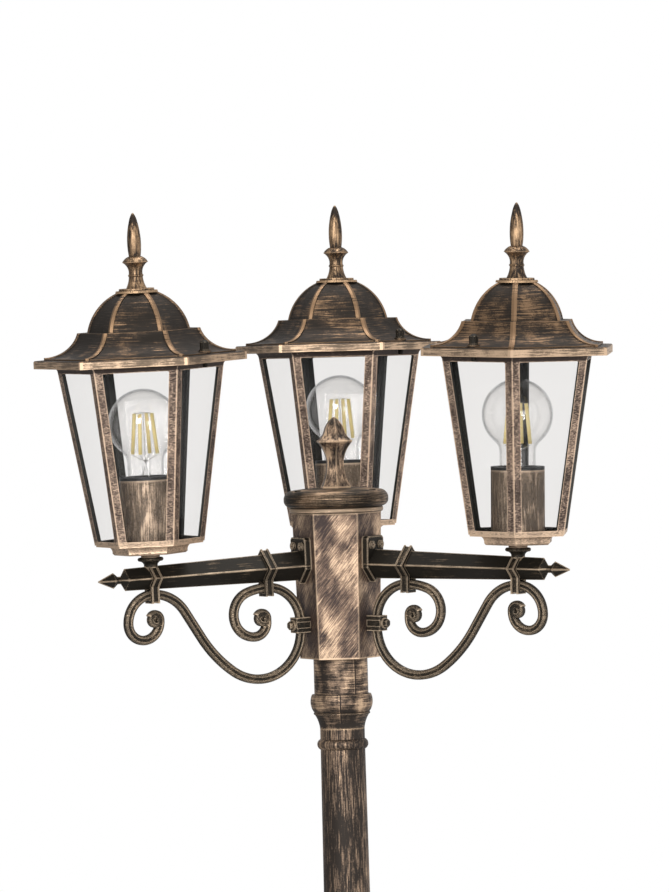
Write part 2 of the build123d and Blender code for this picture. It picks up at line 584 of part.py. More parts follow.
# ---------------------------------------------------------------- lantern
def tray():
    """Hexagonal bottom of a lantern: a moulded dish, a well for the nut and the turning boss."""
    bottom, step, edge = (corner * HEX for corner in (TRAY_BOTTOM_CORNER, TRAY_STEP_CORNER, TRAY_EDGE_CORNER))
    dish = six_sided(
        Line((0, TRAY_BOTTOM), (bottom - 1.5, TRAY_BOTTOM)),
        Line((bottom - 1.5, TRAY_BOTTOM), (bottom, TRAY_BOTTOM + 1.5)),
        ThreePointArc((bottom, TRAY_BOTTOM + 1.5), (bottom + 0.5, TRAY_BOTTOM + 5), (step, TRAY_STEP)),
        Line((step, TRAY_STEP), (edge, TRAY_STEP)),
        Line((edge, TRAY_STEP), (edge, TRAY_TOP)),
        Line((edge, TRAY_TOP), (0, TRAY_TOP)),
    )
    boss = tube(BOSS_R, CUP_TOP + GAP / 2, TRAY_BOTTOM)
    return dish + boss - tube(NUT_WELL_R, NUT_WELL_FLOOR, TRAY_TOP) - tube(NIPPLE_R + FIT, 0, TRAY_TOP)


def cage():
    """Lantern frame: six corner bars between a bottom rail and a coved cornice, in one casting."""
    low, high = frame_apothem(TRAY_TOP), frame_apothem(FRAME_TOP)
    cornice = CORNICE_CORNER * HEX
    outer = six_sided(
        Line((0, TRAY_TOP), (low, TRAY_TOP)),
        Line((low, TRAY_TOP), (high, FRAME_TOP)),
        ThreePointArc(
            (high, FRAME_TOP),
            (high + 2.2, CORNICE_TOP - CORNICE_EDGE - 1.4),
            (cornice, CORNICE_TOP - CORNICE_EDGE),
        ),
        Line((cornice, CORNICE_TOP - CORNICE_EDGE), (cornice, CORNICE_TOP)),
        Line((cornice, CORNICE_TOP), (0, CORNICE_TOP)),
    )
    room = frame_apothem(CORNICE_TOP) - FRAME_WALL
    inner = six_sided(
        Line((0, TRAY_TOP), (low - FRAME_WALL, TRAY_TOP)),
        Line((low - FRAME_WALL, TRAY_TOP), (room, CORNICE_TOP)),
        Line((room, CORNICE_TOP), (0, CORNICE_TOP)),
    )
    body = outer - inner
    window = window_opening()
    for side in range(6):
        body -= Rot(0, 0, 60 * side) * window
    for angle in SCREW_ANGLES:
        place = Rot(0, 0, angle) * Pos(SCREW_REACH, 0, 0)
        body += place * tube(PAD_R, CORNICE_TOP - 4, CORNICE_TOP)
        body -= place * tube(SCREW_R + FIT, FRAME_TOP, CORNICE_TOP)
    return body


def side_outline(bottom, top, margin):
    """Half widths of a tapering side opening, `margin` in from the hexagon's corners."""
    return [
        (frame_apothem(z) * tan(radians(30)) - margin, z) for z in (bottom, top)
    ]


def window_opening():
    """Cutter for one glazed opening, wider at the top, with rounded corners."""
    bottom, top = TRAY_TOP + RAIL_BOTTOM, FRAME_TOP - RAIL_TOP
    (low_half, low), (high_half, high) = side_outline(bottom, top, BAR_FLANGE)
    outline = make_face(
        Polyline((-low_half, low), (low_half, low), (high_half, high), (-high_half, high), (-low_half, low))
    )
    outline = fillet(outline.vertices(), WINDOW_ROUND)
    return extrude(Plane.YZ.offset(TRAY_BOTTOM_CORNER) * outline, amount=FRAME_TOP_CORNER)


def pane():
    """One flat tapering glass pane, resting against the inside of the cage on the +x side."""
    bottom, top = TRAY_TOP + 0.6, CORNICE_TOP - 1.0
    back = FRAME_WALL + GAP / 2
    section = Plane.XZ * make_face(
        Polyline(
            (frame_apothem(bottom) - back - PANE_T, bottom), (frame_apothem(bottom) - back, bottom),
            (frame_apothem(top) - back, top), (frame_apothem(top) - back - PANE_T, top),
            (frame_apothem(bottom) - back - PANE_T, bottom),
        )
    )
    (low_half, low), (high_half, high) = side_outline(bottom, top, 3.4)
    outline = make_face(
        Polyline((-low_half, low), (low_half, low), (high_half, high), (-high_half, high), (-low_half, low))
    )
    sheet = extrude(section, amount=FRAME_TOP_CORNER, both=True)
    return sheet & extrude(Plane.YZ * outline, amount=2 * STEM_REACH)


def panes():
    """The six panes of a lantern."""
    glass = pane()
    return [Rot(0, 0, 60 * side) * glass for side in range(6)]


def roof():
    """Hollow hexagonal roof: down-turned lip, flared skirt, ledge, dome and a rib on every hip."""
    def dome_apothem(z, inset):
        radius = DOME_CORNER - inset
        return HEX * sqrt(radius ** 2 - (z - DOME_CENTRE_Z) ** 2)

    def dome(bottom, top, inset):
        radius = DOME_CORNER - inset
        start, end = (degrees(asin((z - DOME_CENTRE_Z) / radius)) for z in (bottom, top))
        return EllipticalCenterArc(
            (0, DOME_CENTRE_Z), radius * HEX, radius, start_angle=start, arc_size=end - start
        )

    def flare(radius, foot, z):
        top = FLARE_FOOT - sqrt(radius ** 2 - (FLARE_CENTRE_Z - z) ** 2)
        foot_z = FLARE_CENTRE_Z - sqrt(radius ** 2 - (FLARE_FOOT - foot) ** 2)
        middle = (foot + top) / 2
        middle_z = FLARE_CENTRE_Z - sqrt(radius ** 2 - (FLARE_FOOT - middle) ** 2)
        return ThreePointArc((foot, foot_z), (middle, middle_z), (top, z))

    edge, step_top = 0.9, BRIM_TOP + FLARE_STEP
    skirt = flare(FLARE_R, FLARE_FOOT, LEDGE_Z)
    dome_side = dome(LEDGE_Z, DOME_TOP, 0)
    outer = six_sided(
        Line((0, LIP_BOTTOM), (BRIM_APOTHEM, LIP_BOTTOM)),
        Line((BRIM_APOTHEM, LIP_BOTTOM), (BRIM_APOTHEM, BRIM_TOP - edge)),
        Line((BRIM_APOTHEM, BRIM_TOP - edge), (BRIM_APOTHEM - edge, BRIM_TOP)),
        Line((BRIM_APOTHEM - edge, BRIM_TOP), (FLARE_FOOT, BRIM_TOP)),
        Line((FLARE_FOOT, BRIM_TOP), (FLARE_FOOT, step_top)),
        skirt,
        Line(skirt @ 1, (dome_apothem(LEDGE_Z, 0), LEDGE_Z)),
        dome_side,
        Line((dome_apothem(DOME_TOP, 0), DOME_TOP), (0, DOME_TOP)),
    )
    ledge_under, dome_under = LEDGE_Z - ROOF_WALL, DOME_TOP - ROOF_WALL
    inner_skirt = flare(FLARE_R + ROOF_WALL, SEAT_LAND, ledge_under)
    inner = six_sided(
        Line((0, LIP_BOTTOM), (BRIM_APOTHEM - LIP_WALL, LIP_BOTTOM)),
        Line((BRIM_APOTHEM - LIP_WALL, LIP_BOTTOM), (BRIM_APOTHEM - LIP_WALL, PLATE_UNDER)),
        Line((BRIM_APOTHEM - LIP_WALL, PLATE_UNDER), (SEAT_LAND, PLATE_UNDER)),
        Line((SEAT_LAND, PLATE_UNDER), inner_skirt @ 0),
        inner_skirt,
        Line(inner_skirt @ 1, (dome_apothem(ledge_under, ROOF_WALL), ledge_under)),
        dome(ledge_under, dome_under, ROOF_WALL),
        Line((dome_apothem(dome_under, ROOF_WALL), dome_under), (0, dome_under)),
    )
    raised_skirt = flare(FLARE_R - HIP_RIB_RISE, FLARE_FOOT, LEDGE_Z)
    raised_dome = dome(LEDGE_Z, DOME_TOP, -HIP_RIB_RISE)
    raised = six_sided(
        Line((0, BRIM_TOP), (FLARE_FOOT, BRIM_TOP)),
        Line((FLARE_FOOT, BRIM_TOP), raised_skirt @ 0),
        raised_skirt,
        Line(raised_skirt @ 1, (dome_apothem(LEDGE_Z, -HIP_RIB_RISE), LEDGE_Z)),
        raised_dome,
        Line((dome_apothem(DOME_TOP, -HIP_RIB_RISE), DOME_TOP), (0, DOME_TOP)),
    )
    bands = Pos(0, 0, LEDGE_Z) * Box(2 * BRIM_CORNER, HIP_RIB_W, 2 * (DOME_TOP - BRIM_TOP))
    hips = Rot(0, 0, 30) * bands + Rot(0, 0, 90) * bands + Rot(0, 0, 150) * bands
    body = outer + (raised & hips) - inner - tube(4.0 + GAP, DOME_TOP - 5, DOME_TOP)
    for angle in SCREW_ANGLES:
        place = Rot(0, 0, angle) * Pos(SCREW_REACH, 0, 0)
        body -= place * tube(PAD_R, PAD_TOP, LEDGE_Z)
        body += place * tube(PAD_R, PLATE_UNDER, PAD_TOP)
        body -= place * tube(SCREW_R + FIT, PLATE_UNDER - 1, PAD_TOP)
    return body


def roof_finial():
    """Turned finial: two crown plates, flared foot, ring, sharp collar and a long bud."""
    z = DOME_TOP
    edges = [
        Line((0, z - 3.6), (4.0, z - 3.6)),
        Line((4.0, z - 3.6), (4.0, z)),
        Line((4.0, z), (18.0, z)),
        Line((18.0, z), (17.6, z + 1.8)),
        Line((17.6, z + 1.8), (15.0, z + 1.8)),
        Line((15.0, z + 1.8), (14.8, z + 3.6)),
        Line((14.8, z + 3.6), (8.8, z + 3.6)),
        ThreePointArc((8.8, z + 3.6), (6.9, z + 8.0), (5.9, z + 13.4)),
        ThreePointArc((5.9, z + 13.4), (6.5, z + 14.4), (5.9, z + 15.4)),
        ThreePointArc((5.9, z + 15.4), (6.6, z + 21.0), (10.9, z + 25.6)),
        ThreePointArc((10.9, z + 25.6), (8.6, z + 28.6), (5.0, z + 30.6)),
        ThreePointArc((5.0, z + 30.6), (5.75, z + 45.0), (3.5, z + 60.0)),
        ThreePointArc((3.5, z + 60.0), (2.4, z + 63.6), (0.9, z + 66.5)),
        crown(0.9, z + 66.5, 0.5),
    ]
    return turned(*edges)


def thumb_screw():
    """Captive screw that holds the roof down: washer, ribbed knob with a domed top, plain end."""
    knob_r, knob_top = 3.9, PAD_TOP + 7.4
    screw = turned(
        Line((0, SCREW_END), (SCREW_R - 0.5, SCREW_END)),
        Line((SCREW_R - 0.5, SCREW_END), (SCREW_R, SCREW_END + 0.8)),
        Line((SCREW_R, SCREW_END + 0.8), (SCREW_R, PAD_TOP + GAP / 2)),
        Line((SCREW_R, PAD_TOP + GAP / 2), (4.6, PAD_TOP + GAP / 2)),
        Line((4.6, PAD_TOP + GAP / 2), (4.6, PAD_TOP + 1.2)),
        Line((4.6, PAD_TOP + 1.2), (knob_r, PAD_TOP + 1.2)),
        Line((knob_r, PAD_TOP + 1.2), (knob_r, knob_top)),
        crown(knob_r, knob_top, 1.8),
    )
    for notch in range(8):
        screw -= Rot(0, 0, 45 * notch) * Pos(knob_r + 0.3, 0, 0) * tube(0.7, PAD_TOP + 2.0, knob_top)
    return screw


def sleeve():
    """Plain metal cover round the lamp holder."""
    return tube(SLEEVE_R, TRAY_TOP, SLEEVE_TOP) - tube(SLEEVE_R - SLEEVE_WALL, TRAY_TOP, SLEEVE_TOP)


def lamp_holder():
    """Insulated lamp holder: foot skirt over the stem nut, web, contact and stepped socket."""
    outer = SLEEVE_R - SLEEVE_WALL - GAP
    body = tube(outer, TRAY_TOP, SLEEVE_TOP) + tube(SLEEVE_R, SLEEVE_TOP, HOLDER_TOP)
    body -= tube(NUT_WELL_R, TRAY_TOP, LAMP_BOTTOM - 8)
    body -= tube(LAMP_CAP_R + 2 * GAP, LAMP_BOTTOM - 1.6, HOLDER_TOP)
    body -= tube(BULB_NECK_R + 1.6, GLASS_BOTTOM - 4, HOLDER_TOP)
    return body + tube(3.0, LAMP_BOTTOM - 2.6, LAMP_BOTTOM - GAP / 2)


def bulb_solid(inset):
    """The bulb's glass outline, moved in by `inset`, as a full solid."""
    radius, neck = BULB_R - inset, BULB_NECK_R - inset
    join = 50.0                                        # degrees below the equator
    join_r, join_z = radius * cos(radians(join)), BULB_CENTRE - radius * sin(radians(join))
    bend = (join_r - neck) / (1 - cos(radians(join)))
    bend_z = join_z - bend * sin(radians(join))
    middle = radians(join / 2)
    foot = LAMP_CAP_R - 0.6 - inset
    return turned(
        Line((0, GLASS_BOTTOM), (foot, GLASS_BOTTOM)),
        Line((foot, GLASS_BOTTOM), (neck, GLASS_BOTTOM + 7)),
        Line((neck, GLASS_BOTTOM + 7), (neck, bend_z)),
        ThreePointArc(
            (neck, bend_z), (neck + bend * (1 - cos(middle)), bend_z + bend * sin(middle)), (join_r, join_z)
        ),
        ThreePointArc((join_r, join_z), (radius, BULB_CENTRE), (0, BULB_CENTRE + radius)),
    )


def bulb_glass():
    """Clear pear-shaped bulb, blown thin and open at its neck."""
    return bulb_solid(0) - bulb_solid(BULB_WALL)


def bulb_cap():
    """Screw cap of the lamp, with its insulator and centre contact."""
    return turned(
        Line((0, LAMP_BOTTOM), (4.6, LAMP_BOTTOM)),
        Line((4.6, LAMP_BOTTOM), (4.6, LAMP_BOTTOM + 1.2)),
        Line((4.6, LAMP_BOTTOM + 1.2), (LAMP_CAP_R - 1.6, LAMP_BOTTOM + 5.4)),
        Line((LAMP_CAP_R - 1.6, LAMP_BOTTOM + 5.4), (LAMP_CAP_R, LAMP_BOTTOM + 7)),
        Line((LAMP_CAP_R, LAMP_BOTTOM + 7), (LAMP_CAP_R, GLASS_BOTTOM - GAP / 2)),
        Line((LAMP_CAP_R, GLASS_BOTTOM - GAP / 2), (0, GLASS_BOTTOM - GAP / 2)),
    )


def bulb_filaments():
    """Glass stem with four straight filaments on wires above it, closer together at their tops."""
    low_z, high_z, stem_top = GLASS_BOTTOM + STICK_LOW, GLASS_BOTTOM + STICK_HIGH, GLASS_BOTTOM + STEM_TOP
    body = turned(
        Line((0, GLASS_BOTTOM), (7.0, GLASS_BOTTOM)),
        Line((7.0, GLASS_BOTTOM), (3.4, GLASS_BOTTOM + 9)),
        Line((3.4, GLASS_BOTTOM + 9), (3.0, stem_top)),
        Line((3.0, stem_top), (0, stem_top + 1)),
    )
    body += tube(0.5, stem_top, high_z + 1)
    lean = atan((STICK_HIGH_R - STICK_LOW_R) / (high_z - low_z))
    length = (high_z - low_z) / cos(lean)
    for quarter in range(4):
        stick = Pos(STICK_LOW_R, 0, low_z) * Rot(0, degrees(lean), 0) * tube(0.9, 0, length)
        foot = Pos(0, 0, low_z) * Rot(0, 90, 0) * tube(0.4, 0, STICK_LOW_R)
        hanger = Pos(0, 0, high_z) * Rot(0, 90, 0) * tube(0.4, 0, STICK_HIGH_R)
        body += Rot(0, 0, 90 * quarter + 45) * (stick + foot + hanger)
    return body


# ---------------------------------------------------------------- assembly
def whole(shape):
    """One solid, or several in one group, ready to write."""
    return Compound(children=shape) if isinstance(shape, list) else shape


nodes = {
    "base_pedestal": base_pedestal(),
    "lower_pole": pole_tube(PEDESTAL_TOP, LOWER_R, COUPLING_BOTTOM, LOWER_TOP_R),
    "pole_coupling": pole_coupling(),
    "upper_pole": pole_tube(COUPLING_TOP, UPPER_R, ARM_HEIGHT + NECK_BOTTOM_Z, UPPER_TOP_R),
    "hub_neck": hub_neck(),
    "hub_body": hub_body(),
    "hub_cap": hub_cap(),
    "hub_cap_screws": hub_cap_screws(),
    "hub_finial": hub_finial(),
    "terminal_block": terminal_block(),
}

arm_shape, scroll_shape, seat_shape = arm(), scroll(), lantern_seat()
saddle_shape, saddle_front = scroll_saddle()
flange_screw = pan_screw(3.6, 2.2, 1.9, FLANGE_T)
groups = {
    "arm_flange_screws": [flange_screw_place(side) * flange_screw for side in (1, -1)],
    "scroll_straps": [strap(CREST_X)],
    "scroll_saddles": [saddle_shape],
    "saddle_screws": [saddle_screw(saddle_front)],
    "stem_nuts": [stem_nut()],
}
for group, shapes in groups.items():
    nodes[group] = [arm_frame(name) * shape for name in ARMS for shape in shapes]

lantern = {
    "tray": tray(),
    "frame": cage(),
    "panes": panes(),
    "sleeve": sleeve(),
    "lamp_holder": lamp_holder(),
    "bulb_glass": bulb_glass(),
    "bulb_cap": bulb_cap(),
    "bulb_filaments": bulb_filaments(),
    "roof": roof(),
    "roof_finial": roof_finial(),
}
for number, angle in enumerate(SCREW_ANGLES, start=1):
    lantern[f"thumb_screw_{number}"] = Rot(0, 0, angle) * Pos(SCREW_REACH, 0, 0) * thumb_screw()

for name in ARMS:
    nodes[f"{name}_arm"] = arm_frame(name) * arm_shape
    nodes[f"{name}_scroll"] = arm_frame(name) * scroll_shape
    nodes[f"{name}_lantern_seat"] = arm_frame(name) * seat_shape
    for piece, shape in lantern.items():
        if isinstance(shape, list):
            nodes[f"{name}_{piece}"] = [lantern_frame(name) * solid for solid in shape]
        else:
            nodes[f"{name}_{piece}"] = lantern_frame(name) * shape

for node, shape in nodes.items():
    export_step(whole(shape), f"parts/{node}.step")
print(len(nodes), "nodes written")
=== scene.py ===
# %% [markdown]
# # A lamp post with three lanterns
# The real object is a garden lamp post of cast aluminium, painted nearly black and then rubbed
# with bronze, so that every edge shines and every hollow stays dark. Its measured model comes
# packed as a fixed frame, in metres, with its foot on the ground at the origin. This script adds
# the looks: the camera, the light, every finish, and the small parts inside the lamps.

import json
from functools import reduce
from math import cos, pi, radians, sin

import bmesh
import bpy
from mathutils import Matrix, Vector


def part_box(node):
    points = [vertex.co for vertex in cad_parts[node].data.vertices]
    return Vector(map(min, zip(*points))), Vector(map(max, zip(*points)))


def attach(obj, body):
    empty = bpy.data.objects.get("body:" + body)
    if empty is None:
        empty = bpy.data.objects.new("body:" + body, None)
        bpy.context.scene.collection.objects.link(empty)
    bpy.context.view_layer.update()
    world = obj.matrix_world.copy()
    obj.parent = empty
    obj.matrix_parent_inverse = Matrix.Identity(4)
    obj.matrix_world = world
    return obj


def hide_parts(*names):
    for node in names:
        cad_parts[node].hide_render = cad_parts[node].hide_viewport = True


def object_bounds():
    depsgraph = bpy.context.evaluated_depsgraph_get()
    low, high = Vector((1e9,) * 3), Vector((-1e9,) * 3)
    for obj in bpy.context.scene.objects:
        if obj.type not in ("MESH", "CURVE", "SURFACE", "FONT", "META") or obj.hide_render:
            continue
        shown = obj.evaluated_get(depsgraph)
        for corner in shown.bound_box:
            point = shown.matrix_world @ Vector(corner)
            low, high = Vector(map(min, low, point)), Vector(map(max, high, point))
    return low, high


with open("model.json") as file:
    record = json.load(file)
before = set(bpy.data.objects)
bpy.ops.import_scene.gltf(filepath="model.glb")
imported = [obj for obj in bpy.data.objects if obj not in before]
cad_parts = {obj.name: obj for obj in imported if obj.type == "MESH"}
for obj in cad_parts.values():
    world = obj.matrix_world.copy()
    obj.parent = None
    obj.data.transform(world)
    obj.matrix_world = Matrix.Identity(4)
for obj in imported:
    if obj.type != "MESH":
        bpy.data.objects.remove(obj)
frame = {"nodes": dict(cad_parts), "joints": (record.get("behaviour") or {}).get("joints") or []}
cad_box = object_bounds()
scene = bpy.context.scene
scene.view_settings.view_transform = "Standard"
LANTERNS = ("left", "right", "rear")

# %% [markdown]
# ## Camera
# The photograph was taken from far away with a long lens that stood a little higher than the
# lanterns, and the post leans a little to the left in it. The place and angles below come from
# fitting a pinhole camera to measured corners of the object. The lens follows from the focal
# length in pixels and the picture's height, because the sensor is fitted to the longer side.

# %% Place the camera
PICTURE_HEIGHT = 892
FOCAL_PIXELS = 8823.5
SENSOR = 36.0
FARTHEST_SEEN = 100
CAMERA_PLACE = Vector((0.237, -7.496, 2.236))
PITCH, ROLL = radians(-1.885), radians(-1.60)

pan = Vector((-CAMERA_PLACE.x, -CAMERA_PLACE.y)).angle_signed(Vector((0, 1)))
lens = bpy.data.cameras.new("camera")
lens.sensor_fit = "VERTICAL"
lens.sensor_height = SENSOR
lens.lens = FOCAL_PIXELS * SENSOR / PICTURE_HEIGHT
lens.clip_end = FARTHEST_SEEN
camera = bpy.data.objects.new("camera", lens)
level_turn = Matrix.Rotation(pan, 4, "Z") @ Matrix.Rotation(pi / 2 + PITCH, 4, "X")
turn = level_turn @ Matrix.Rotation(ROLL, 4, "Z")
camera.matrix_world = Matrix.Translation(CAMERA_PLACE) @ turn
scene.collection.objects.link(camera)
scene.camera = camera
print(f"lens {lens.lens:.1f} mm")

# %% [markdown]
# ## Shader maths as Python
# A bronze finish is mostly arithmetic on masks: this streak, but only near that edge. Written as
# nodes one by one it is hard to read. The class below wraps one output of a node, and its
# operators add the Math nodes, so a mask reads as a formula. Every other node comes from one
# method, `node`, and the short methods after it only save typing.

# %% A value that builds its own nodes
class Value:
    """One output of a shader node. Sums and products of values add Math nodes."""

    def __init__(self, finish, socket):
        self.finish = finish
        self.socket = socket

    def maths(self, operation, *terms):
        return self.finish.node("Math", {"operation": operation}, dict(enumerate(terms)))

    def __add__(self, other):
        return self.maths("ADD", self, other)

    def __sub__(self, other):
        return self.maths("SUBTRACT", self, other)

    def __rsub__(self, other):
        return self.maths("SUBTRACT", other, self)

    def __mul__(self, other):
        return self.maths("MULTIPLY", self, other)

    def __truediv__(self, other):
        return self.maths("DIVIDE", self, other)

    def __pow__(self, other):
        return self.maths("POWER", self, other)

    def __abs__(self):
        return self.maths("ABSOLUTE", self)

    __radd__, __rmul__ = __add__, __mul__

    def least(self, other):
        return self.maths("MINIMUM", self, other)

    def most(self, other):
        return self.maths("MAXIMUM", self, other)

    def step(self, low, high):
        """0 below `low`, 1 above `high`, smooth between; `high` may be the lower of the two."""
        sockets = {"Value": self, "From Min": low, "From Max": high}
        return self.finish.node("MapRange", {"interpolation_type": "SMOOTHSTEP"}, sockets)


class Finish:
    """A material or a world in the making."""

    def __init__(self, owner):
        self.owner = owner
        owner.use_nodes = True
        self.tree = owner.node_tree
        self.tree.nodes.clear()

    def node(self, kind, settings=(), inputs=(), output=0):
        """Adds a node of any kind: its settings first, then its sockets; returns one output."""
        made = self.tree.nodes.new("ShaderNode" + kind)
        for name, value in dict(settings).items():
            setattr(made, name, value)
        for name, value in dict(inputs).items():
            if isinstance(value, Value):
                self.tree.links.new(value.socket, made.inputs[name])
            else:
                made.inputs[name].default_value = value
        return Value(self, made.outputs[output]) if made.outputs else None

    def vectors(self, operation, *terms, output=0):
        """A Vector Math node. Where its answer is a number, `output` is "Value"."""
        return self.node("VectorMath", {"operation": operation}, dict(enumerate(terms)), output)

    def blend(self, share, first, second):
        """A colour that goes from `first` to `second`, both RGB triples or values."""
        first, second = (c if isinstance(c, Value) else (*c, 1) for c in (first, second))
        # a Mix node keeps a set of sockets for each kind of data: 6 and 7 are its two colours
        sockets = {0: share, 6: first, 7: second}
        return self.node("Mix", {"data_type": "RGBA"}, sockets, output=2)

    def place(self):
        return self.node("TexCoord", output="Object")

    def normal(self):
        return self.node("TexCoord", output="Normal")

    def along(self, direction, start=(0, 0, 0)):
        """How far a point lies from `start` along a direction, in metres."""
        from_start = self.vectors("SUBTRACT", self.place(), start)
        return self.vectors("DOT_PRODUCT", from_start, direction, output="Value")

    def stretched(self, sizes):
        """Coordinates in which a feature of the noise is about `sizes` metres on each axis."""
        scale = [1 / size for size in sizes]
        return self.node("Mapping", {}, {"Vector": self.place(), "Scale": scale})

    def noise(self, place, detail=3, roughness=0.55):
        sockets = {"Vector": place, "Scale": 1, "Detail": detail, "Roughness": roughness}
        return self.node("TexNoise", {"noise_dimensions": "3D"}, sockets)

    def bump(self, height, strength, depth):
        """A normal for a surface whose `height`, from 0 to 1, stands up to `depth` metres proud."""
        sockets = {"Strength": strength, "Distance": depth, "Height": height}
        return self.node("Bump", {}, sockets)

    def show(self, shader, target="OutputMaterial"):
        self.node(target, {}, {"Surface": shader})
        return self.owner


def material(name):
    return Finish(bpy.data.materials.new(name))


def paint(piece, finish):
    """Gives a piece or CAD node one finish all over."""
    piece.data.materials.clear()
    piece.data.materials.append(finish)


# %% [markdown]
# ## Where bronze catches
# A brush that is nearly dry leaves paint on edges and misses hollows. The Ambient Occlusion node
# can find both: with Inside on it looks into the metal, and near a sharp edge it soon meets the
# other side; without it, it looks out, and in a corner it meets the neighbouring wall. A blunt
# edge, such as the hub's, lets fewer rays out than a square one, so `sharpest` says how strong
# the mask is on the edge.

# %% Masks for edges and hollows
AO_SAMPLES = 6
EDGE_FADE = 0.25
HOLLOW_FADE = (0.25, 0.7)


def edges(finish, reach, sharpest):
    """1 on the edges of a piece, 0 on its flats. `reach` is the width of the worn band."""
    settings = {"samples": AO_SAMPLES, "inside": True, "only_local": True}
    open_share = finish.node("AmbientOcclusion", settings, {"Distance": reach}, "AO")
    return (1 - open_share).step(sharpest * EDGE_FADE, sharpest)


def hollows(finish, reach):
    """1 deep in a corner, 0 on an open face."""
    settings = {"samples": AO_SAMPLES}
    open_share = finish.node("AmbientOcclusion", settings, {"Distance": reach}, "AO")
    return (1 - open_share).step(*HOLLOW_FADE)


# %% [markdown]
# ## The bronze itself
# Three coats make the finish. The ground is a dark brown enamel. Bronze goes over it in strokes
# that all run one way on a face, long and thin, and denser in some patches than in others. Last,
# edges and high spots get a paler gold. The strokes are noise that is stretched along the brush:
# short across and long along it. Each kind of piece has its own three tones, because the brush
# was fuller on some.

# %% Tones: the ground, the strokes over it and the gold on top
ENAMEL = (0.018, 0.015, 0.011)
PALE_GOLD = (0.72, 0.53, 0.37)
TONES = {
    "hub": ((0.055, 0.040, 0.037), (0.22, 0.150, 0.108), (0.66, 0.48, 0.33)),
    "turned": ((0.036, 0.028, 0.023), (0.20, 0.14, 0.10), (0.62, 0.44, 0.29)),
    "cap": ((0.020, 0.016, 0.012), (0.11, 0.076, 0.050), (0.40, 0.275, 0.18)),
    "roof": ((0.022, 0.017, 0.013), (0.046, 0.034, 0.026), (0.28, 0.175, 0.10)),
    "frame": ((0.060, 0.043, 0.036), (0.25, 0.18, 0.14), (0.68, 0.50, 0.36)),
    "sleeve": ((0.030, 0.023, 0.018), (0.14, 0.10, 0.072), (0.60, 0.46, 0.34)),
    "finial": ((0.030, 0.022, 0.017), (0.20, 0.130, 0.078), (0.48, 0.32, 0.19)),
    "dark": (ENAMEL, (0.11, 0.082, 0.056), (0.58, 0.45, 0.32)),
}
print(len(TONES), "sets of tones")

# %% Which way the strokes run
UP = (0, 0, 1)
STROKE_WIDTH, STROKE_LENGTH = 0.0010, 0.024
UPRIGHT_WIDER = 1.4
DAB_ACROSS, DAB_HIGH = 3.0, 0.6
SLANT, SLANT_SHORTER = radians(52), 0.7


def stroke_space(finish, direction, width):
    """Coordinates stretched along the brush: level, upright, stippled or slanted."""
    if direction == "level":
        return finish.stretched((STROKE_LENGTH, STROKE_LENGTH, width))
    if direction == "upright":
        return finish.stretched((width * UPRIGHT_WIDER, width * UPRIGHT_WIDER, STROKE_LENGTH))
    if direction == "stippled":
        return finish.stretched((width * DAB_ACROSS, width * DAB_ACROSS, width * DAB_HIGH))
    sideways = finish.vectors("CROSS_PRODUCT", UP, finish.normal())
    across = finish.vectors("DOT_PRODUCT", finish.place(), sideways, output="Value")
    height = finish.along(UP)
    along = across * cos(SLANT) + height * sin(SLANT)
    beside = height * cos(SLANT) - across * sin(SLANT)
    sockets = {"X": along / (STROKE_LENGTH * SLANT_SHORTER), "Y": beside / width}
    return finish.node("CombineXYZ", {}, sockets)


# %% The three coats
HAIRY, COARSE = 0.72, 0.7                           # roughness of the noise of strokes and grain
GRAIN_SIZE, GRAIN_SHARE = 0.0013, 0.15
PATCH_TALLER = 1.6
COVER_GAIN, HOLLOW_LOSS, EDGE_GAIN = 0.22, 0.18, 0.08
STROKES_FROM, GOLD_FROM, RIM_FROM = (0.465, 0.525), (0.53, 0.60), (0.3, 0.8)
GOLD_COVER, RIM_COVER = 0.92, 0.85
POLISH_LEAST, POLISH_MORE = 0.25, 0.6
ENAMEL_METAL, STROKE_METAL = 0.405, 0.495
SMOOTHEST, GRAIN_ROUGH, ENAMEL_ROUGH = 0.40, 0.16, 0.06
ENAMEL_GLOSS = 0.2
RELIEF, RELIEF_DEPTH = 0.3, 0.0004


